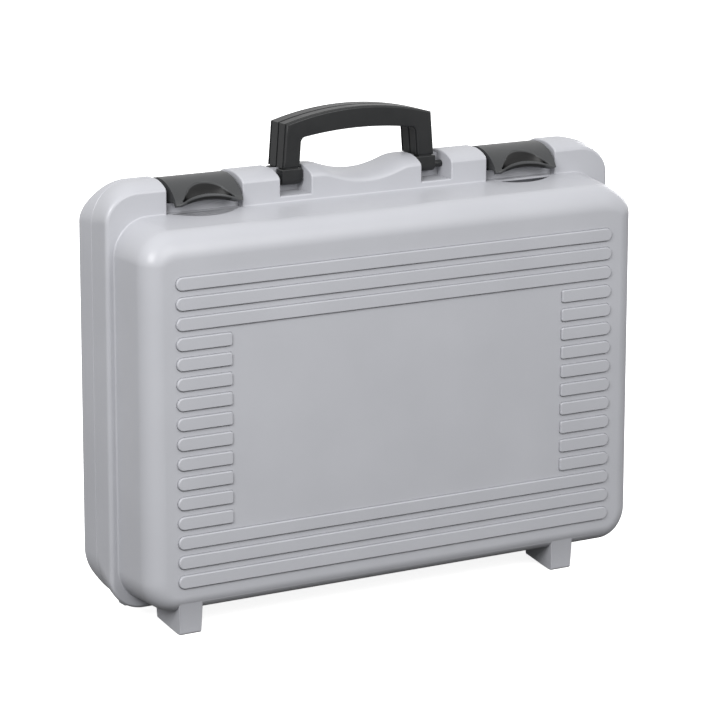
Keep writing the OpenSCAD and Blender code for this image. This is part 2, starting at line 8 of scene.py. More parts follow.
from math import acos, asin, atan2, cos, hypot, pi, radians, sin, sqrt

import bmesh
import bpy
from mathutils import Matrix, Vector


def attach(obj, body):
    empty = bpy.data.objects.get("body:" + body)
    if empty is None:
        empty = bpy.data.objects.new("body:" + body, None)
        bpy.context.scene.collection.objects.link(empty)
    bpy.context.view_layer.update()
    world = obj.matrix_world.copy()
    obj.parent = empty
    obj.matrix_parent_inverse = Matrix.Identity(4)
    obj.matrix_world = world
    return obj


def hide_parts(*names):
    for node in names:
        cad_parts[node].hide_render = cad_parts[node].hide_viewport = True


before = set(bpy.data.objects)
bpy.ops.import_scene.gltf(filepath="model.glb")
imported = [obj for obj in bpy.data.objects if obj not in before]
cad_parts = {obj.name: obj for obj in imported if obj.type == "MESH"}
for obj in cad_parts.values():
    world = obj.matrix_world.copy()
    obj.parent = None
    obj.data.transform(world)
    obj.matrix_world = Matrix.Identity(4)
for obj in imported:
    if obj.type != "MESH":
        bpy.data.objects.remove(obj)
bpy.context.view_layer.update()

# %% [markdown]
# ## Sizes
# All sizes are in millimetres. Places and fits repeat the CAD values, because the
# pieces below must sit where the solids are; the crown of the front rim, the rim
# edges and the upper corners are refined here. A tray is described as seen from the
# parting plane: depth grows outwards, for the front tray towards -Y and for the
# rear tray towards +Y.

# %% Sizes of the case
MM = 0.001
PART_Y = 18.0
# Half widths and heights of the body and of the rim round it, the wall, and corner radii
BODY_X, LOW, HIGH = 239.0, 19.5, 339.5
RIM_X, RIM_LOW, RIM_HIGH = 246.0, 8.0, 367.0
WALL = 2.6
R_TOP, R_LOW = 31.0, 42.0
RIM_R_TOP, RIM_R_LOW = 35.0, 48.0
# Each tray: depths of tray and rim, the fillet radii (side, top, low) between panel and walls,
# the flat strip and crown radius of the rim, corner radii at the panel and at the rim's edge
FRONT = {"depth": 80.5, "rim": 26.0, "round": (17.0, 22.0, 14.0), "flat": 5.5, "crown": 34.0,
         "panel_r": 28.0, "edge_r": (29.0, 30.0), "way": -1}
REAR = {"depth": 44.5, "rim": 24.5, "round": (15.0, 14.0, 14.0), "flat": 2.0, "crown": 25.0,
        "panel_r": 42.0, "edge_r": (48.0, 35.0), "way": 1}
# How far the tray top falls towards the panel, the cove at the rim, and the rim's edge radii
TOP_FALL, COVE = 4.6, 1.4
EDGE, SIDE_EDGE = 2.0, 3.6
FOOT_XS = (-200, 167)
# The three kinds of pivot: place of the axis and radius of the bore. Y counts from the parting
# plane: the grip's as drawn, in front of it, the latch's behind it. The latch's Z counts from HIGH.
GRIP_X, GRIP_PIN_Y, GRIP_PIN_Z, GRIP_BORE = 69.0, -8.7, 356.1, 2.3
LATCH_X, LATCH_PIN_Y, LATCH_PIN_Z, LATCH_BORE = 155.0, 17.5, 11.0, 2.05
HINGE_X, HINGE_Z, HINGE_BORE = 112, 9.3, 1.3
# Radius of a knuckle, of the room cut for its neighbour, and the gap between two of them
KNUCKLE_R, KNUCKLE_ROOM, KNUCKLE_GAP = 3.4, 3.8, 0.4
# The pockets: half widths, and the soft edge that the flare cuts round them
GRIP_POCKET, LATCH_POCKET, SOFT_EDGE = 15, 35.25, 1.3
print("case", 2 * RIM_X, "mm wide,", RIM_HIGH, "mm to the rim")

# %% [markdown]
# ## Mesh helpers
# Moulded trays are lofts: a rounded rectangle that changes a little from depth to
# depth. Modelling that with a subdivision surface would never keep the flat faces
# flat, so the rings are computed and bridged. Pockets and bores are cut out with
# booleans, like cores in the mould.

# %% Helpers for closed meshes
def solid(name, points, faces):
    mesh = bpy.data.meshes.new(name)
    mesh.from_pydata([Vector(p) * MM for p in points], [], faces)
    bm = bmesh.new()
    bm.from_mesh(mesh)
    bmesh.ops.remove_doubles(bm, verts=bm.verts, dist=1e-7)
    bmesh.ops.recalc_face_normals(bm, faces=bm.faces)
    bm.to_mesh(mesh)
    bm.free()
    piece = bpy.data.objects.new(name, mesh)
    bpy.context.scene.collection.objects.link(piece)
    return piece


def loft(name, rings):
    n, m = len(rings[0]), len(rings)
    faces = [(i * n + j, i * n + (j + 1) % n, (i + 1) * n + (j + 1) % n, (i + 1) * n + j)
             for i in range(m - 1) for j in range(n)]
    faces += [tuple(reversed(range(n))), tuple((m - 1) * n + j for j in range(n))]
    return solid(name, [p for ring in rings for p in ring], faces)


def block(a, b, name="block"):
    return loft(name, [[(a[0], y, a[2]), (b[0], y, a[2]), (b[0], y, b[2]), (a[0], y, b[2])]
                       for y in (a[1], b[1])])


def bar(x0, x1, y, z, r, steps=40):
    return loft("bar", [[(x, y + r * cos(2 * pi * k / steps), z + r * sin(2 * pi * k / steps))
                         for k in range(steps)] for x in (x0, x1)])


def prism(x0, x1, outline, name="prism"):
    return loft(name, [[(x, y, z) for y, z in outline] for x in (x0, x1)])


# %% Helpers that finish a mesh
def applied(piece):
    graph = bpy.context.evaluated_depsgraph_get()
    mesh = bpy.data.meshes.new_from_object(piece.evaluated_get(graph))
    old = piece.data
    piece.modifiers.clear()
    piece.data = mesh
    bpy.data.meshes.remove(old)
    return piece


def boolean(piece, how, tools):
    for tool in tools:
        step = piece.modifiers.new("step", "BOOLEAN")
        step.operation = how
        step.solver = "MANIFOLD"
        step.object = tool
        applied(piece)
        bpy.data.objects.remove(tool)
    return piece


def in_triangles(piece):
    """A face with hundreds of corners can't be cut twice cleanly; triangles can."""
    bm = bmesh.new()
    bm.from_mesh(piece.data)
    bmesh.ops.triangulate(bm, faces=bm.faces)
    bm.to_mesh(piece.data)
    bm.free()
    return piece


def bevelled(piece, width, segments=3, angle=35):
    step = piece.modifiers.new("edges", "BEVEL")
    step.width = width * MM
    step.segments = segments
    step.limit_method = "ANGLE"
    step.angle_limit = radians(angle)
    return applied(piece)


def smooth(piece, angle=40):
    bm = bmesh.new()
    bm.from_mesh(piece.data)
    bmesh.ops.remove_doubles(bm, verts=bm.verts, dist=2e-6)
    bmesh.ops.dissolve_degenerate(bm, edges=bm.edges, dist=1e-6)
    wide = [face for face in bm.faces if len(face.verts) > 12]
    bmesh.ops.triangulate(bm, faces=wide, ngon_method="BEAUTY")
    bm.to_mesh(piece.data)
    bm.free()
    piece.data.shade_smooth()
    piece.data.set_sharp_from_angle(angle=radians(angle))
    step = piece.modifiers.new("normals", "WEIGHTED_NORMAL")
    step.keep_sharp = True
    return applied(piece)


def placed(piece, case, name):
    """Puts a tray-shaped piece, drawn in front of the parting plane, on its side."""
    way = -case["way"]
    for v in piece.data.vertices:
        v.co.y = v.co.y * way + PART_Y * MM
    if way < 0:
        piece.data.flip_normals()
    piece.name = piece.data.name = name
    return piece


# %% [markdown]
# ## Tray rings
# The wall of a tray slopes a little so that it leaves the mould, and the rim
# is rounded like a pillow at the top. Each ring is a rounded rectangle whose
# sides, top and bottom move in by their own amounts.

# %% Rings of the trays
def drop(r, t):
    return 0.0 if t <= 0 else r - sqrt(max(0.0, r * r - t * t))


def ring(y, hx, lo, hi, r_lo, r_hi, side, top, low, steps=22):
    corners = ((hx - r_hi, hi - r_hi, r_hi - side, r_hi - top, 0),
               (r_hi - hx, hi - r_hi, r_hi - side, r_hi - top, 90),
               (r_lo - hx, lo + r_lo, r_lo - side, r_lo - low, 180),
               (hx - r_lo, lo + r_lo, r_lo - side, r_lo - low, 270))
    return [(cx + rx * cos(radians(a + 90 * k / steps)), y, cz + rz * sin(radians(a + 90 * k / steps)))
            for cx, cz, rx, rz, a in corners for k in range(steps + 1)]


def between(a, b, part):
    return a + (b - a) * max(0.0, min(1.0, part))


def tray(case, back, t=0.0, steps=18, extra=0.0):
    side, top, low = (r - t for r in case["round"])
    front = case["depth"] - t + extra
    reach = max(side, top, low)
    shape = (BODY_X - t, LOW + t, HIGH - t)
    r_panel = case["panel_r"] - t
    rings = []
    for k in range(steps + 1):
        c = reach * (1 - cos(pi / 2 * k / steps))
        rings.append(ring(c - front, *shape, r_panel, R_TOP - t, drop(side, side - c),
                          drop(top, top - c) + TOP_FALL, drop(low, low - c)))
    if not t and not extra:
        for k in range(7):
            a = pi / 2 * k / 6
            out = -COVE * (1 - cos(a))
            rings.append(ring(COVE * (sin(a) - 1) - case["rim"], *shape, r_panel, R_TOP,
                              out, out, out))
    rings += [ring(y, *shape, between(R_LOW - t, r_panel, -y / case["rim"]), R_TOP - t, 0, 0, 0)
              for y in ([back] if not t and not extra else [-case["rim"], back])]
    return loft("tray", rings)


def crown(case, d):
    """How far the top of the rim has dropped at depth d, with its small edge rounding."""
    return drop(case["crown"], d - case["flat"]) + drop(EDGE, d - case["rim"] + EDGE)


def rim_ring(case, d, t, side, top, low):
    share = d / case["rim"]
    return ring(-d, RIM_X - t, RIM_LOW + t, RIM_HIGH - t,
                between(RIM_R_LOW, case["edge_r"][0], share) - t,
                between(RIM_R_TOP, case["edge_r"][1], share) - t, side, top, low)


def rim(case, back, t=0.0):
    depth = case["rim"]
    if t:
        marks = [depth - t, depth - 6, depth - 9]
        return loft("rim", [rim_ring(case, d, t, 0, crown(case, d), 0.7 * crown(case, d))
                            for d in marks] + [rim_ring(case, -back, t, 0, 0, 0)])
    marks = [0.5 + 0.02 * k * k for k in range(17)]
    marks += [6.5 + (depth - 6.5 - SIDE_EDGE) * k / 15 for k in range(16)]
    marks += [depth - r + r * sin(pi / 2 * k / 8) for k in range(9) for r in (EDGE, SIDE_EDGE)]
    marks = sorted(set(round(m, 4) for m in marks), reverse=True)
    rings = []
    for d in marks:
        relief = 1.6 * max(0.0, 1 - d / 6.0) ** 2
        rings.append(rim_ring(case, d, 0.0, drop(SIDE_EDGE, d - depth + SIDE_EDGE), crown(case, d),
                              max(0.7 * crown(case, d), relief)))
    rings.append(rim_ring(case, 0.0, 0.0, 0.5, 0.5, 1.6))
    return loft("rim", rings)


# %% [markdown]
# ## Cuts in the rim
# Where a pocket is cut into the rounded rim, the mould leaves a soft edge. The cut
# is therefore two tools: a straight pocket, and a flare that follows the rim's own
# side profile a little below the surface, so that the edge comes out rounded all
# the way round. The hollow for the hand uses the same kind of tool, lowered by the
# arc of the hollow.

# %% Tools that follow the rim
def rim_profile(case, inset, lower, foot):
    depth = case["rim"]
    marks = [-3.0, 0.0] + [2.0 + (depth - 2.0 - EDGE) * k / 18 for k in range(19)]
    marks += [depth - EDGE + EDGE * sin(pi / 2 * k / 4) for k in range(1, 5)]
    line = [(-d, RIM_HIGH - crown(case, max(d, 0.0)) - lower) for d in marks]
    if foot is not None:
        line.append((-depth, foot))
    moved = []
    for k, (y, z) in enumerate(line):
        a, b = line[max(k - 1, 0)], line[min(k + 1, len(line) - 1)]
        length = hypot(b[0] - a[0], b[1] - a[1])
        moved.append((y - inset * (b[1] - a[1]) / length, z + inset * (b[0] - a[0]) / length))
    return moved


def flare(case, x0, x1, r, foot):
    stations = [(x0 - r + r * sin(pi / 2 * k / 7), r * (1 - cos(pi / 2 * k / 7))) for k in range(8)]
    stations += [(x0 + x1 - x, d) for x, d in reversed(stations)]
    rings = []
    for x, d in stations:
        line = rim_profile(case, d if d > 0 else -0.03, 0.0, foot)
        far = [(-case["rim"] - 9, foot), (-case["rim"] - 9, RIM_HIGH + 9), (3.0, RIM_HIGH + 9)]
        rings.append([(x, y, z) for y, z in line + far])
    return loft("flare", rings)


def hand_hollow(case, wall=0.0):
    rings = []
    for k in range(61):
        x = (-48 - wall) * (1 - k / 30)
        arc = 8.5 - drop(89.0, abs(x))
        soft = 0.5 * (arc + sqrt(arc * arc + 5.0)) - 0.28
        line = rim_profile(case, wall, soft if soft > 0.02 else -0.04, None)
        far = [(-case["rim"] - 9, line[-1][1]), (-case["rim"] - 9, RIM_HIGH + 9), (3.0, RIM_HIGH + 9)]
        rings.append([(x, y, z) for y, z in line + far])
    return loft("hand hollow", rings)


# %% [markdown]
# ## The two trays
# Each tray is one moulding: body, rim, handle pockets, latch pockets, hinge
# knuckles and feet are joined into one mesh, in the order in which a mould maker
# would think of them: outer skin, inner skin, then cores.

# %% Parts of a tray
def grip_pockets(case):
    tools = []
    for s in (-1, 1):
        x0, x1 = s * GRIP_X - GRIP_POCKET, s * GRIP_X + GRIP_POCKET
        depth, floor = case["rim"], HIGH + 5.5
        edge = [(-depth + 1.5 - 1.5 * sin(pi / 2 * k / 5), floor - 1.5 + 1.5 * cos(pi / 2 * k / 5))
                for k in range(6)]
        outline = [(-WALL, floor)] + edge + [(-depth - 8, floor - 1.5), (-depth - 8, RIM_HIGH + 9),
                                             (-WALL, RIM_HIGH + 9)]
        tools.append(prism(x0, x1, outline))
        tools.append(block((x0, -WALL - 1, RIM_HIGH - 2.5), (x1, 3, RIM_HIGH + 9)))
        tools.append(flare(case, x0, x1, SOFT_EDGE, floor - 0.2))
        tools.append(bar(x0 - 4.2, x1 + 4.2, GRIP_PIN_Y, GRIP_PIN_Z, GRIP_BORE))
    return tools


def latch_pockets_front(case):
    tools = []
    for s in (-1, 1):
        x0, x1 = s * LATCH_X - LATCH_POCKET, s * LATCH_X + LATCH_POCKET
        step = [(3, HIGH + 8.2), (-17.2, HIGH + 8.2), (-17.8, HIGH + 7.9), (-18, HIGH + 7.2),
                (-18, HIGH), (-35, HIGH), (-35, RIM_HIGH + 9), (3, RIM_HIGH + 9)]
        tools.append(prism(x0, x1, step))
        tools.append(flare(case, x0, x1, SOFT_EDGE, HIGH))
        tools.append(block((x0 + WALL, -15.4, HIGH), (x1 - WALL, 0.5, HIGH + 5.6)))
    return tools


def latch_pockets_rear(case):
    tools = []
    for s in (-1, 1):
        x0, x1 = s * LATCH_X - LATCH_POCKET, s * LATCH_X + LATCH_POCKET
        tools.append(block((x0, -35, HIGH + 4), (x1, 3, RIM_HIGH + 9)))
        tools.append(flare(case, x0, x1, SOFT_EDGE, HIGH + 4))
        tools.append(bar(x0 - 4.2, x1 + 4.2, -LATCH_PIN_Y, HIGH + LATCH_PIN_Z, LATCH_BORE))
    return tools


def rim_core(case):
    """The hollow of the rim, less what stays solid: pocket walls, hinge blocks and thin ribs."""
    depth, half_rib = case["rim"], 0.9
    core = rim(case, 0.5, WALL)
    keep = [tray(case, 2.0, 0.0, 8, 30.0)]
    for s in (-1, 1):
        for x, w in ((GRIP_X, GRIP_POCKET), (LATCH_X, LATCH_POCKET)):
            keep.append(block((s * x - w - 6, -depth - 3, HIGH - 30),
                              (s * x + w + 6, 3, RIM_HIGH + 3)))
        keep.append(block((s * HINGE_X - 34.6, -9, RIM_LOW - 3), (s * HINGE_X + 34.6, 3, LOW + 3)))
        keep.append(block((s * 23 - half_rib, -depth, HIGH - 5), (s * 23 + half_rib, 3, RIM_HIGH)))
        for k in range(1, 7):
            z = LOW + 46 * k
            keep.append(block((s * RIM_X - 12, -depth, z - half_rib),
                              (s * RIM_X + 12, 3, z + half_rib)))
    keep.append(hand_hollow(case, WALL))
    for k in range(-4, 5):
        keep.append(block((46 * k - half_rib, -depth, RIM_LOW - 3), (46 * k + half_rib, 3, LOW + 1)))
    return boolean(core, "DIFFERENCE", keep)


def knuckles(first, r, gap):
    """Every second one of the five knuckles at each side; a negative gap makes room for them."""
    return [bar(s * HINGE_X - 30 + 12 * k + gap, s * HINGE_X - 18 + 12 * k - gap, 0, HINGE_Z, r)
            for s in (-1, 1) for k in range(first, 5, 2)]


def hinge_bores():
    return [bar(s * HINGE_X - 31, s * HINGE_X + 31, 0, HINGE_Z, HINGE_BORE) for s in (-1, 1)]


# %% Feet
def foot(x, outline):
    """A foot is a wedge seen from the side, and tapers towards the floor seen from the front."""
    piece = prism(x - 12, x + 12, outline, "foot")
    y0, y1 = min(p[0] for p in outline) - 1, max(p[0] for p in outline) + 1
    taper = loft("taper", [[(x - 10, y, -1), (x + 10, y, -1), (x + 11.5, y, 40), (x - 11.5, y, 40)]
                           for y in (y0, y1)])
    return bevelled(boolean(piece, "INTERSECT", [taper]), 0.9)


def front_feet():
    y0 = 3 - FRONT["depth"]
    top = LOW + 8.4
    side = [(y0, 1.2), (y0 + 1.2, 0), (y0 + 6, 0), (y0 + 40, 5.7), (y0 + 41, LOW + 1.3),
            (y0 + 16, LOW + 1.3), (y0 + 2, top), (y0 - 1.2, top)]
    return [foot(x, side) for x in FOOT_XS]


def rear_feet():
    y1 = 4 - REAR["rim"]
    y0 = y1 - 12
    side = [(y0, 1.2), (y0 + 1.2, 0), (y1, 0), (y1, RIM_LOW + 2.5 * WALL), (y1 - 5, LOW + 1.3),
            (y0, LOW + 1.3)]
    feet = []
    for x in FOOT_XS:
        piece = foot(x, side)
        cores = [block((x - 8, y0 + 3, 1.8), (x + 8, y1 + 1, 4.0)),
                 block((x - 8, y0 + 3, 5.4), (x + 8, y1 + 1, RIM_LOW + 2))]
        feet.append(boolean(piece, "DIFFERENCE", cores))
    return feet


# %% Outline of the panel ribs, and the fine line that the mould leaves round their feet
RIB_W, RIB_END, RIB_SHORT, GROOVE = 10.9, 212.4, 50.9, 0.55
ROWS, FULL_ROWS, FIRST_ROW, PITCH = 16, 3, 26.5, 16.5
# Each rib: its ends, and the corner radius at its left and right end
LONG_RIB = (-RIB_END, RIB_END, 5.4, 5.4)
LEFT_RIB = (-RIB_END, RIB_SHORT - RIB_END, 5.4, 2.0)
RIGHT_RIB = (RIB_END - RIB_SHORT, RIB_END, 2.0, 5.4)


def rib_outline(x0, x1, r_left, r_right, inset):
    half, outline = RIB_W / 2, []
    for cx, r, a0 in ((x1, r_right, -90), (x1, r_right, 0), (x0, r_left, 90), (x0, r_left, 180)):
        sx = 1 if a0 in (-90, 0) else -1
        sz = -1 if a0 in (-90, 180) else 1
        for k in range(9):
            a = radians(a0 + 90 * k / 8)
            outline.append((cx - sx * r + (r - inset) * cos(a),
                            sz * (half - r) + (r - inset) * sin(a)))
    return outline


def rib_grooves(case):
    tools = []
    for row in range(ROWS):
        z0 = LOW + FIRST_ROW + PITCH * row
        short = FULL_ROWS <= row < ROWS - FULL_ROWS
        for ends in (LEFT_RIB, RIGHT_RIB) if short else (LONG_RIB,):
            rings = [[(x, y - case["depth"], z0 + z) for x, z in rib_outline(*ends, -grow)]
                     for y, grow in ((GROOVE, 0.3), (0.0, GROOVE), (-1.5, GROOVE))]
            tools.append(loft("groove", rings))
    bm = bmesh.new()
    for tool in tools:
        bm.from_mesh(tool.data)
    bm.to_mesh(tools[0].data)
    bm.free()
    for tool in tools[1:]:
        bpy.data.objects.remove(tool)
    return tools[0]


# %% Mould a tray
def moulded_tray(case):
    body = tray(case, -13.0)
    boolean(body, "UNION", [rim(case, 0.0)])
    boolean(body, "DIFFERENCE", [tray(case, 0.5, WALL, 12), rim_core(case), hand_hollow(case)])
    boolean(body, "UNION", [block((s * HINGE_X - 32.6, -8.6, 9.9),
                                  (s * HINGE_X + 32.6, 0, LOW + 0.5)) for s in (-1, 1)])
    boolean(body, "DIFFERENCE", grip_pockets(case) + [rib_grooves(case)])
    return body


front_tray = moulded_tray(FRONT)
# The finger scoop is a bar laid across the tray top, and the pad is the wall that is left round it
SCOOP_Y, SCOOP_Z, SCOOP_R = -31.5, HIGH + 6.5, 14
LENS_R, LENS_Y, LENS_HALF = 44.69, -38.5, 46
KEEPER_HALF = 23.4
pads = []
for s in (-1, 1):
    pad = bar(s * LATCH_X - 35.6, s * LATCH_X + 35.6, SCOOP_Y, SCOOP_Z, SCOOP_R + 2.6, 96)
    room = prism(s * LATCH_X - 36, s * LATCH_X + 36,
                 [(0, HIGH - 14), (-60, HIGH - 14), (-60, HIGH - 6.4), (-27, HIGH - 1.3),
                  (0, HIGH - 1.3)])
    pads.append(boolean(pad, "INTERSECT", [room]))
    pads.append(block((s * LATCH_X - 33.5, -30, HIGH - 10), (s * LATCH_X + 33.5, -13, HIGH - 1.3)))
boolean(front_tray, "UNION", pads)
boolean(front_tray, "DIFFERENCE", latch_pockets_front(FRONT))
boolean(front_tray, "UNION", [block((s * LATCH_X - KEEPER_HALF, -18, HIGH + 6),
                                    (s * LATCH_X + KEEPER_HALF, 0, HIGH + 14.2)) for s in (-1, 1)])
in_triangles(front_tray)
for s in (-1, 1):
    scoop = bar(s * LATCH_X - 33, s * LATCH_X + 33, SCOOP_Y, SCOOP_Z, SCOOP_R, 96)
    lens = [(s * LATCH_X + LENS_R * sin(a), LENS_Y + LENS_R * (1 - cos(a)))
            for a in (radians(LENS_HALF - 2 * LENS_HALF * k / 48) for k in range(49))]
    room = loft("lens", [[(x, min(y, -26.0), z) for x, y in lens] for z in (HIGH - 14, HIGH + 0.5)])
    under = block((s * LATCH_X - 31, -27, HIGH - 7.6), (s * LATCH_X + 31, -15.5, HIGH - 1.7))
    boolean(front_tray, "DIFFERENCE", [boolean(scoop, "INTERSECT", [room]), under])
boolean(front_tray, "DIFFERENCE", knuckles(1, KNUCKLE_ROOM, -KNUCKLE_GAP))
boolean(front_tray, "UNION", knuckles(0, KNUCKLE_R, KNUCKLE_GAP / 2) + front_feet())
boolean(front_tray, "DIFFERENCE", hinge_bores())
placed(smooth(front_tray), FRONT, "front_tray")
print("front tray:", len(front_tray.data.polygons), "faces")

# %% Mould the rear tray
rear_tray = moulded_tray(REAR)
boolean(rear_tray, "DIFFERENCE", latch_pockets_rear(REAR) + knuckles(0, KNUCKLE_ROOM, -KNUCKLE_GAP))
boolean(rear_tray, "UNION", knuckles(1, KNUCKLE_R, KNUCKLE_GAP / 2) + rear_feet())
boolean(rear_tray, "DIFFERENCE", hinge_bores())


def lip_ring(y, t):
    return ring(y, BODY_X - t, LOW + t, HIGH - t, R_LOW - t, R_TOP - t, 0, 0, 0)


lip = loft("lip", [lip_ring(-3.0, 1.4), lip_ring(-0.5, 1.4), lip_ring(0.3, 3.1), lip_ring(3.0, 3.1)])
boolean(lip, "DIFFERENCE", [loft("lip core", [lip_ring(-4.0, 4.7), lip_ring(4.0, 4.7)])])
boolean(rear_tray, "UNION", [lip])
placed(smooth(rear_tray), REAR, "rear_tray")
print("rear tray:", len(rear_tray.data.polygons), "faces")

# %% [markdown]
# ## Panel ribs
# Sixteen raised ribs stiffen each panel: full-width ones at the top and bottom, and
# pairs of short ones that leave a plain field in the middle. They follow one rule,
# so Geometry Nodes place them: a line of points, one per row, and a choice by row
# number between the long rib and a pair of short ones.

# %% Rib prototypes
def rib(name, ends):
    profile = [(0.0, -0.9), (0.0, 0.0), (0.06, 0.5), (0.12, 0.95)]
    profile += [(0.12 + 0.8 * (1 - cos(pi / 2 * k / 6)), 1.0 + 0.8 * sin(pi / 2 * k / 6))
                for k in range(1, 7)]
    piece = loft(name, [[(x, -height, z) for x, z in rib_outline(*ends, inset)]
                        for inset, height in profile])
    bpy.context.scene.collection.objects.unlink(piece)
    return piece


rib_long, rib_left = rib("rib long", LONG_RIB), rib("rib left", LEFT_RIB)
rib_right = rib("rib right", RIGHT_RIB)


# %% Rib layout as a node tree
def add(tree, kind, settings=None, **links):
    """Adds one node: settings are its own options, links are values or sockets for its inputs."""
    node = tree.nodes.new(kind)
    for key, value in (settings or {}).items():
        setattr(node, key, value)
    for key, value in links.items():
        by_number = key[0] == "i" and key[1:].isdigit()
        socket = node.inputs[int(key[1:]) if by_number else key.replace("_", " ")]
        if isinstance(value, bpy.types.NodeSocket):
            tree.links.new(value, socket)
        else:
            socket.default_value = value
    return node


def rib_tree():
    tree = bpy.data.node_groups.new("panel ribs", "GeometryNodeTree")
    tree.interface.new_socket("Geometry", in_out="OUTPUT", socket_type="NodeSocketGeometry")
    for name, kind in (("Rows", "Int"), ("Pitch", "Float"), ("First row", "Float"),
                       ("Panel depth", "Float"), ("Full rows", "Int"), ("Long rib", "Object"),
                       ("Left rib", "Object"), ("Right rib", "Object"), ("Material", "Material")):
        tree.interface.new_socket(name, in_out="INPUT", socket_type="NodeSocket" + kind)
    given = add(tree, "NodeGroupInput").outputs
    start = add(tree, "ShaderNodeCombineXYZ", i1=given["Panel depth"], i2=given["First row"])
    step = add(tree, "ShaderNodeCombineXYZ", i2=given["Pitch"])
    rows = add(tree, "GeometryNodeMeshLine", Count=given["Rows"], Start_Location=start.outputs[0],
               Offset=step.outputs[0])
    number = add(tree, "GeometryNodeInputIndex").outputs[0]
    last = add(tree, "ShaderNodeMath", {"operation": "SUBTRACT"}, i0=given["Rows"],
               i1=given["Full rows"])
    low = add(tree, "FunctionNodeCompare", {"data_type": "INT", "operation": "LESS_THAN"},
              i2=number, i3=given["Full rows"])
    high = add(tree, "FunctionNodeCompare", {"data_type": "INT", "operation": "GREATER_EQUAL"},
               i2=number, i3=last.outputs[0])
    full = add(tree, "FunctionNodeBooleanMath", {"operation": "OR"}, i0=low.outputs[0],
               i1=high.outputs[0])
    short = add(tree, "FunctionNodeBooleanMath", {"operation": "NOT"}, i0=full.outputs[0])
    join = add(tree, "GeometryNodeJoinGeometry")
    for socket, chosen in (("Long rib", full), ("Left rib", short), ("Right rib", short)):
        shape = add(tree, "GeometryNodeObjectInfo", Object=given[socket])
        copies = add(tree, "GeometryNodeInstanceOnPoints", Points=rows.outputs[0],
                     Selection=chosen.outputs[0], Instance=shape.outputs["Geometry"])
        tree.links.new(copies.outputs[0], join.inputs[0])
    real = add(tree, "GeometryNodeRealizeInstances", i0=join.outputs[0])
    finish = add(tree, "GeometryNodeSetMaterial", Geometry=real.outputs[0],
                 Material=given["Material"])
    end = add(tree, "NodeGroupOutput")
    tree.links.new(finish.outputs[0], end.inputs[0])
    return tree


ribs_rule = rib_tree()

# %% [markdown]
# ## Materials
# All but the pins is injection-moulded plastic. Colours are given as sRGB hex
# values and turned into the linear values that the renderer works with.

# %% Material helpers
def colour(hex_code):
    parts = [int(hex_code[i:i + 2], 16) / 255 for i in (1, 3, 5)]
    return tuple(p / 12.92 if p <= 0.04045 else ((p + 0.055) / 1.055) ** 2.4 for p in parts) + (1.0,)


def moulded(name, base, light, rough, grain_mm, bump, ior=1.49, spread=0.06, specular=0.5,
            painted_shade=None):
    """Moulded plastic: a fine spark-eroded grain, a soft mottle in the colour, a semi-matt skin."""
    mat = bpy.data.materials.new(name)
    mat.use_nodes = True
    tree = mat.node_tree
    tree.nodes.clear()
    place = add(tree, "ShaderNodeTexCoord").outputs["Object"]
    grain = add(tree, "ShaderNodeTexNoise", Vector=place, Scale=1 / (grain_mm * MM), Detail=2.0,
                Roughness=0.6)
    cloud = add(tree, "ShaderNodeTexNoise", Vector=place, Scale=1 / (70 * MM), Detail=3.0,
                Roughness=0.5)
    flow = add(tree, "ShaderNodeTexNoise", Vector=place, Scale=1 / (9 * MM), Detail=2.0,
               Roughness=0.5)
    shade = add(tree, "ShaderNodeValToRGB", Fac=cloud.outputs["Fac"])
    shade.color_ramp.elements[0].position = 0.3
    shade.color_ramp.elements[0].color = colour(base)
    shade.color_ramp.elements[1].position = 0.7
    shade.color_ramp.elements[1].color = colour(light)
    gloss = add(tree, "ShaderNodeMapRange", Value=flow.outputs["Fac"], i3=rough - spread,
                i4=rough + spread)
    relief = add(tree, "ShaderNodeBump", Strength=bump, Distance=0.05 * MM,
                 Height=grain.outputs["Fac"])
    tint = shade.outputs["Color"]
    # Painted shade: where the attribute marks the latch's thumb hollow, the colour is mixed towards a
    # near-black, which darkens the hollow.
    if painted_shade:
        part = add(tree, "ShaderNodeAttribute", {"attribute_name": "painted_shade"})
        tint = add(tree, "ShaderNodeMix", {"data_type": "RGBA"}, i0=part.outputs["Fac"], i6=tint,
                   i7=colour(painted_shade)).outputs[2]
    skin = add(tree, "ShaderNodeBsdfPrincipled", Base_Color=tint,
               Roughness=gloss.outputs["Result"], Normal=relief.outputs["Normal"], IOR=ior)
    skin.inputs["Specular IOR Level"].default_value = specular
    add(tree, "ShaderNodeOutputMaterial", Surface=skin.outputs[0])
    return mat


# %% The finishes of the case
grey_shell = moulded("moulded grey polypropylene", "#AAABB0", "#AEAFB4", 0.35, 1.1, 0.25,
                     specular=0.45)
black_grip = moulded("moulded black polypropylene", "#18191A", "#1E1F20", 0.36, 0.9, 0.3)
# The latch's colour is darkened to near-black in its thumb hollow: a painted shade.
black_latch = moulded("moulded black nylon", "#393A3B", "#3F4041", 0.34, 0.9, 0.2, ior=1.53,
                     specular=0.3, painted_shade="#0A0A0A")


def drawn_steel():
    mat = bpy.data.materials.new("bright drawn steel wire")
    mat.use_nodes = True
    tree = mat.node_tree
    tree.nodes.clear()
    place = add(tree, "ShaderNodeTexCoord").outputs["Object"]
    along = add(tree, "ShaderNodeMapping", Vector=place, Scale=(0.04, 1.0, 1.0))
    lines = add(tree, "ShaderNodeTexNoise", Vector=along.outputs[0], Scale=1 / (0.4 * MM),
                Detail=3.0)
    tint = add(tree, "ShaderNodeMix", {"data_type": "RGBA"}, i0=lines.outputs["Fac"],
               i6=colour("#8F9498"), i7=colour("#B4B8BC"))
    rough = add(tree, "ShaderNodeMapRange", Value=lines.outputs["Fac"], i3=0.22, i4=0.42)
    skin = add(tree, "ShaderNodeBsdfPrincipled", Base_Color=tint.outputs[2], Metallic=1.0,
               Roughness=rough.outputs["Result"])
    add(tree, "ShaderNodeOutputMaterial", Surface=skin.outputs[0])
    return mat


steel = drawn_steel()
print("materials:", [m.name for m in bpy.data.materials])


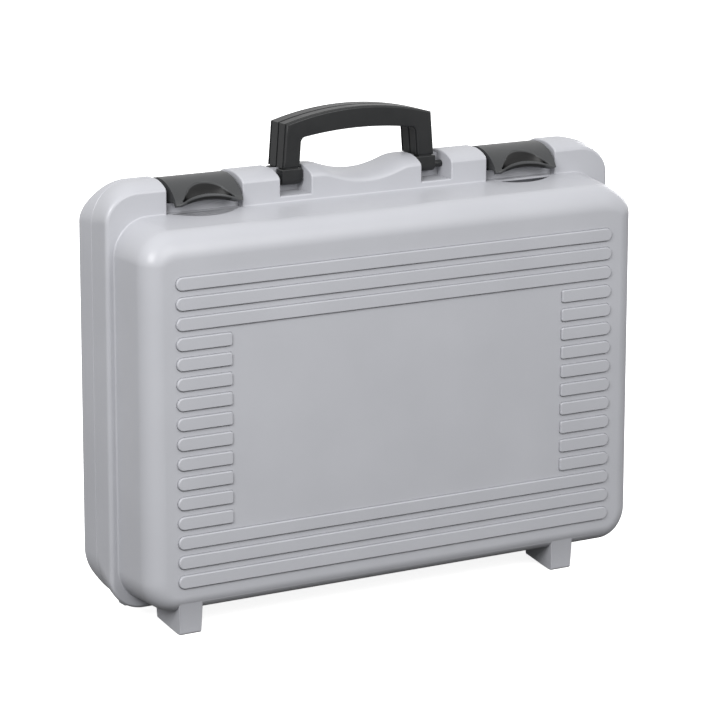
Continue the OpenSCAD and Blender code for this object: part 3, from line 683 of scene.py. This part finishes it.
# %% Give the trays their finish
def finish(piece, material, body, slot, *nodes):
    piece.data.materials.clear()
    piece.data.materials.append(material)
    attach(piece, body)
    if nodes:
        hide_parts(*nodes)


finish(front_tray, grey_shell, "front", "shell", "front_shell")
finish(rear_tray, grey_shell, "rear", "shell", "rear_shell")

# %% Lay the ribs on both panels
for case, body in ((FRONT, "front"), (REAR, "rear")):
    carrier = bpy.data.objects.new("ribs " + body, bpy.data.meshes.new("ribs"))
    bpy.context.scene.collection.objects.link(carrier)
    layout = carrier.modifiers.new("ribs", "NODES")
    layout.node_group = ribs_rule
    values = {"Rows": ROWS, "Pitch": PITCH * MM, "First row": (LOW + FIRST_ROW) * MM,
              "Full rows": FULL_ROWS, "Panel depth": -case["depth"] * MM, "Long rib": rib_long,
              "Left rib": rib_left, "Right rib": rib_right, "Material": grey_shell}
    for item in ribs_rule.interface.items_tree:
        if item.in_out == "INPUT":
            layout[item.identifier] = values[item.name]
    applied(carrier)
    smooth(carrier, 60)
    placed(carrier, case, body + "_panel_ribs")
    finish(carrier, grey_shell, body, "shell")
    print(carrier.name, len(carrier.data.polygons), "faces")

# %% [markdown]
# ## Handle halves
# Each half is a solid moulded bow. Its front outline is one closed line: the arched
# top, two legs that widen downwards, and the arched opening for the hand. Rings of
# that outline are stacked through the thickness, and a ring that is drawn in makes
# the chamfer or the groove.

# %% Handle outline
def grip_outline(inset):
    z0, rise, bar_h, top_r, under_r = GRIP_PIN_Z, 55.8, 17.7, 262.0, 350.0
    half, shoulder = 70.7, 9.4
    leg = rise - shoulder - 12
    line = [(-half - 3, z0 + shoulder)]
    line += [(-half - 3 + 3 * k / 6 * 0.93, z0 + shoulder + leg * k / 6) for k in range(1, 6)]
    top = rise + z0 - top_r
    edge = asin((half + 0.1) / top_r)
    line += [(top_r * sin(-edge + 2 * edge * k / 40), top + top_r * cos(-edge + 2 * edge * k / 40))
             for k in range(41)]
    line += [(half + 3 - 3 * k / 6 * 0.93, z0 + shoulder + leg * k / 6) for k in range(5, 0, -1)]
    line += [(half + 3, z0 + shoulder)]
    inner, r = 56.7, 5.0
    under = z0 + rise - bar_h - under_r
    line += [(inner + 1.5, z0 + shoulder), (inner + 0.4, z0 + shoulder + 14)]
    x_c = inner - r
    z_c = under + sqrt(under_r ** 2 - x_c ** 2) - r
    line += [(x_c + r * cos(radians(90 * k / 8)), z_c + r * sin(radians(90 * k / 8)))
             for k in range(9)]
    line += [(x, under + sqrt(under_r ** 2 - x * x))
             for x in [x_c - 2 * x_c * k / 30 for k in range(1, 30)]]
    line += [(-x_c - r * sin(radians(90 * k / 8)), z_c + r * cos(radians(90 * k / 8)))
             for k in range(9)]
    line += [(-inner - 0.4, z0 + shoulder + 14), (-inner - 1.5, z0 + shoulder)]
    n, moved = len(line), []
    for k in range(n):
        a, b, c = line[k - 1], line[k], line[(k + 1) % n]
        u = Vector((b[0] - a[0], b[1] - a[1])).normalized()
        v = Vector((c[0] - b[0], c[1] - b[1])).normalized()
        normal = Vector((u.y + v.y, -u.x - v.x))
        normal = normal / max(0.35, normal.length_squared / 2)
        moved.append((b[0] + inset * normal.x, b[1] + inset * normal.y))
    return moved


LEG_X, EYE_R, TRUNNION_R = 65.7, 5.3, 2.9


def grip_half(case, name):
    # Each layer: its depth, and how far the outline is drawn in there
    layers = [(1.0, 0.5), (1.5, 0.0), (10.2, 0.0), (10.5, 0.25), (10.7, 1.2), (12.0, 1.2),
              (12.2, 0.25), (12.4, 0.0), (12.8, 0.0), (13.3, 0.3), (14.0, 1.0), (14.2, 1.6)]
    bow = loft(name, [[(x, -d, z) for x, z in grip_outline(e)] for d, e in layers])
    feet = []
    for s in (-1, 1):
        x = s * LEG_X
        arc = [(GRIP_PIN_Y + EYE_R * cos(radians(a)), GRIP_PIN_Z + EYE_R * sin(radians(a)))
               for a in range(180, 361, 10)]
        outline = arc + [(-3.4, GRIP_PIN_Z + 8.4), (-14.0, GRIP_PIN_Z + 8.4)]
        feet.append(bevelled(prism(x - 9.75, x + 9.75, outline), 0.9, 3, 50))
        feet.append(block((x - 6.2, -12.9, GRIP_PIN_Z + 6), (x + 6.2, -4.5, GRIP_PIN_Z + 12)))
        feet.append(bar(s * GRIP_X - 14.6, s * GRIP_X + 14.6, GRIP_PIN_Y, GRIP_PIN_Z, TRUNNION_R))
    boolean(bow, "UNION", feet)
    boolean(bow, "DIFFERENCE", [bar(s * GRIP_X - 16, s * GRIP_X + 16, GRIP_PIN_Y, GRIP_PIN_Z, GRIP_BORE)
                                for s in (-1, 1)])
    return placed(smooth(bow, 32), case, name)


finish(grip_half(FRONT, "grip_front"), black_grip, "grip_front", "handle", "front_handle")
finish(grip_half(REAR, "grip_rear"), black_grip, "grip_rear", "handle", "rear_handle")

# %% [markdown]
# ## Latches
# A latch is a curved shield with a thumb hollow and an arched lip, two cheeks that
# carry the pivot, and a hook underneath. The shield is laid out as a grid: one
# direction runs across the latch, the other follows its side profile, and the thumb
# hollow pushes the grid in.

# %% Latch shield
LATCH_W, LATCH_R, LATCH_CY, LATCH_TOP, LATCH_REAR = 62.0, 36.0, -3.0, 26.8, 38.0
# The lip's height, half the width of the thumb hollow, and how deep that is at the bead
LIP, THUMB, RECESS = 8.0, 24.5, 2.7
LIP_TURN = pi - asin((LIP - LATCH_TOP + LATCH_R) / LATCH_R)
# Shares of the side profile at which the front arc and the rear arc end
FRONT_ARC, REAR_ARC = 0.55, 0.96


def shield_point(x, v, inset):
    """v runs from the lip (0) over the top to the rear end (1)."""
    z0 = LATCH_TOP - LATCH_R
    lift = LIP + (3.6 * (1 - (x / THUMB) ** 2) if abs(x) < THUMB else 0.0)
    a0 = pi - asin((lift - z0) / LATCH_R)
    if v < FRONT_ARC:
        a = a0 + (pi / 2 - a0) * v / FRONT_ARC
        return (LATCH_CY + (LATCH_R - inset) * cos(a), z0 + (LATCH_R - inset) * sin(a))
    r = LATCH_REAR - inset
    end = acos((23.0 - LATCH_CY - inset) / r)
    if v < REAR_ARC:
        a = pi / 2 + (end - pi / 2) * (v - FRONT_ARC) / (REAR_ARC - FRONT_ARC)
        return (LATCH_CY + r * cos(a), LATCH_TOP - LATCH_REAR + r * sin(a))
    z = LATCH_TOP - LATCH_REAR + r * sin(end)
    return (23.0 - inset, z + (11.6 - z) * (v - REAR_ARC) / (1 - REAR_ARC))


def hollow_top(x):
    """Where the thumb hollow ends at x: an arch, highest in the middle."""
    return 0.03 + 0.265 * (1 - (x / THUMB) ** 2)


def shield_column(x):
    """Rows of the grid at x: (v, depth below the plain shield), for the bead and the hollow."""
    span = max(0.0, 1 - (x / 28.0) ** 2)
    bead = 0.012 + 0.050 * span
    force = min(1.0, max(0.0, (hollow_top(x) - bead - 0.01) / 0.03))
    top = max(hollow_top(x), bead + 0.045)
    swell = -0.7 * min(1.0, 3 * span)
    rows = [(bead * k / 6, swell + (1.5 - swell) * (1 - k / 6) ** 2 * min(1.0, 2 * span))
            for k in range(7)]
    rows += [(bead + 0.024 * k / 5, swell + (RECESS * force - swell) * (1 - cos(pi * k / 5)) / 2)
             for k in range(1, 6)]
    rows += [(bead + 0.024 + (top - bead - 0.030) * k / 12,
              (0.3 + (RECESS - 0.3) * (1 - k / 12)) * force) for k in range(1, 13)]
    rows += [(top - 0.006 + 0.006 * k / 3, 0.3 * force * (1 - k / 3)) for k in range(1, 4)]
    return rows + [(top + (1 - top) * k / 50, 0.0) for k in range(1, 51)]


def latch(s, name):
    nx, nv = 96, len(shield_column(0.0)) - 1
    half = LATCH_W / 2
    xs = [-half + LATCH_W * i / nx for i in range(nx + 1)]
    outer, inner = [], []
    for x in xs:
        for v, depth in shield_column(x):
            outer.append((x, *shield_point(x, v, depth)))
            inner.append((x, *shield_point(x, v, 3.6)))
    m, total = nv + 1, (nx + 1) * (nv + 1)
    faces = []
    for i in range(nx):
        for j in range(nv):
            a = i * m + j
            faces.append((a, a + m, a + m + 1, a + 1))
            faces.append((total + a, total + a + 1, total + a + m + 1, total + a + m))
    for i in range(nx):
        for j in (0, nv):
            a = i * m + j
            faces.append((a, a + m, total + a + m, total + a))
    for j in range(nv):
        for i in (0, nx):
            a = i * m + j
            faces.append((a, a + 1, total + a + 1, total + a))
    shield = bevelled(solid(name, outer + inner, faces), 0.5, 2, 50)
    parts = []
    for side in (-1, 1):
        x0, x1 = sorted((side * (half - 0.1), side * (half - 2.6)))
        cheek = [shield_point(side * half, 0.18 + 0.78 * j / 30, 0.4) for j in range(31)]
        cheek += [(22.6, 11.5), (12.0, 11.0), (12.0, 9.5), (-32.5, 9.5)]
        parts.append(prism(x0, x1, cheek))
        parts.append(bar(x0, x1, LATCH_PIN_Y, LATCH_PIN_Z, 5.5, 48))
    hook = [(-21.8, 9.5), (-18.6, 9.5), (-18.6, 19.2), (-21.8, 17.8)]
    parts.append(prism(-KEEPER_HALF, KEEPER_HALF, hook))
    boolean(shield, "UNION", parts)
    boolean(shield, "DIFFERENCE", [bar(-half - 2, half + 2, LATCH_PIN_Y, LATCH_PIN_Z, LATCH_BORE)])
    smooth(shield, 35)
    # Marks the thumb hollow for a painted shade: its colour is darkened to near-black.
    hollow_shade = shield.data.attributes.new("painted_shade", "FLOAT", "POINT")
    for vert in shield.data.vertices:
        x, y, z = vert.co / MM
        y, z = y - LATCH_CY, z - LATCH_TOP + LATCH_R
        depth, v = LATCH_R - hypot(y, z), FRONT_ARC * (LIP_TURN - atan2(z, y)) / (LIP_TURN - pi / 2)
        inside = 0.2 < depth < 3.2 and 0.02 < v < hollow_top(x) and abs(x) < THUMB - 0.2
        hollow_shade.data[vert.index].value = float(inside)
        vert.co += Vector((s * LATCH_X, PART_Y, HIGH)) * MM
    return shield


for s, name in ((-1, "latch_left"), (1, "latch_right")):
    finish(latch(s, name + "_shield"), black_latch, name, "latch", name)

# %% [markdown]
# ## Pins
# The pins stay CAD solids, because their shape is right. They only need their steel.

# %% Steel for the pins
for name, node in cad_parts.items():
    if "_pin_" in name:
        node.data.materials.clear()
        node.data.materials.append(steel)
print("pins dressed")

# %% [markdown]
# ## Studio
# The photograph is a product shot on white, taken with a long lens. A soft lamp in
# front, a stronger one at the left and a weaker one at the right light the case, and
# the world adds bounce. The floor and the world show white to the camera and, by a
# small share, in reflections, so that the case keeps its own tones.

# %% Camera
camera = bpy.data.objects.new("camera", bpy.data.cameras.new("camera"))
bpy.context.scene.collection.objects.link(camera)
camera.data.lens = 170.898
camera.data.sensor_width = 36
camera.data.clip_end = 50
yaw, pitch, roll = radians(31.342), radians(12.833), radians(0.078)
forward = Vector((sin(yaw) * cos(pitch), cos(yaw) * cos(pitch), -sin(pitch)))
right = Vector((cos(yaw), -sin(yaw), 0))
up = right.cross(forward)
right, up = cos(roll) * right + sin(roll) * up, cos(roll) * up - sin(roll) * right
place = Matrix((right, up, -forward)).transposed().to_4x4()
place.translation = Vector((-1474.96, -2418.29, 840.32)) * MM
camera.matrix_world = place
bpy.context.scene.camera = camera
print("camera", [round(v, 3) for v in place.translation])


# %% Floor, world and lamps
def white_to_camera(tree, look, shown, glossy):
    """White for the camera, and a share of it in reflections; all else gets the case's own light."""
    path = add(tree, "ShaderNodeLightPath")
    share = add(tree, "ShaderNodeMath", {"operation": "MULTIPLY"}, i0=path.outputs["Is Glossy Ray"],
                i1=glossy)
    seen = add(tree, "ShaderNodeMath", {"operation": "MAXIMUM"}, i0=path.outputs["Is Camera Ray"],
               i1=share.outputs[0])
    mix = add(tree, "ShaderNodeMixShader", i0=seen.outputs[0], i1=look, i2=shown)
    return mix.outputs[0]


world = bpy.data.worlds.new("studio")
bpy.context.scene.world = world
world.use_nodes = True
sky = world.node_tree
sky.nodes.clear()
bounce = add(sky, "ShaderNodeBackground", Color=colour("#FFFFFF"), Strength=0.78)
plain = add(sky, "ShaderNodeBackground", Color=(1, 1, 1, 1), Strength=1.0)
add(sky, "ShaderNodeOutputWorld",
    Surface=white_to_camera(sky, bounce.outputs[0], plain.outputs[0], 0.3))

REACH = 4000
square = ((-REACH, -REACH), (REACH, -REACH), (REACH, REACH), (-REACH, REACH))
floor = loft("floor", [[(x, y, z) for x, y in square] for z in (-12.0, 0.0)])
paper = bpy.data.materials.new("white studio paper")
paper.use_nodes = True
tree = paper.node_tree
tree.nodes.clear()
fibre = add(tree, "ShaderNodeTexNoise", Vector=add(tree, "ShaderNodeTexCoord").outputs["Object"],
            Scale=1 / (400 * MM))
tone = add(tree, "ShaderNodeMix", {"data_type": "RGBA"}, i0=fibre.outputs["Fac"],
           i6=colour("#F6F6F6"), i7=colour("#F9F9F9"))
sheet = add(tree, "ShaderNodeBsdfDiffuse", Color=tone.outputs[2])
glow = add(tree, "ShaderNodeEmission", Color=(1, 1, 1, 1), Strength=0.86)
both = add(tree, "ShaderNodeAddShader", i0=sheet.outputs[0], i1=glow.outputs[0])
dull = add(tree, "ShaderNodeBsdfDiffuse", Color=colour("#2C2C2C"))
add(tree, "ShaderNodeOutputMaterial",
    Surface=white_to_camera(tree, dull.outputs[0], both.outputs[0], 0.12))
floor.data.materials.append(paper)


def lamp(name, where, aim, width, power):
    light = bpy.data.lights.new(name, "AREA")
    light.shape = "SQUARE"
    light.size = width
    light.energy = power
    piece = bpy.data.objects.new(name, light)
    bpy.context.scene.collection.objects.link(piece)
    piece.location = where
    piece.rotation_euler = (Vector(aim) - Vector(where)).to_track_quat("-Z", "Y").to_euler()


MIDDLE = (0, 0, 0.25)
lamp("front light", (0.5, -2.0, 1.6), MIDDLE, 1.4, 23)
lamp("left light", (-1.5, -1.15, 1.4), MIDDLE, 1.0, 37)
lamp("right light", (2.0, 0.9, 0.9), MIDDLE, 1.0, 16)
bpy.context.scene.view_settings.view_transform = "Standard"
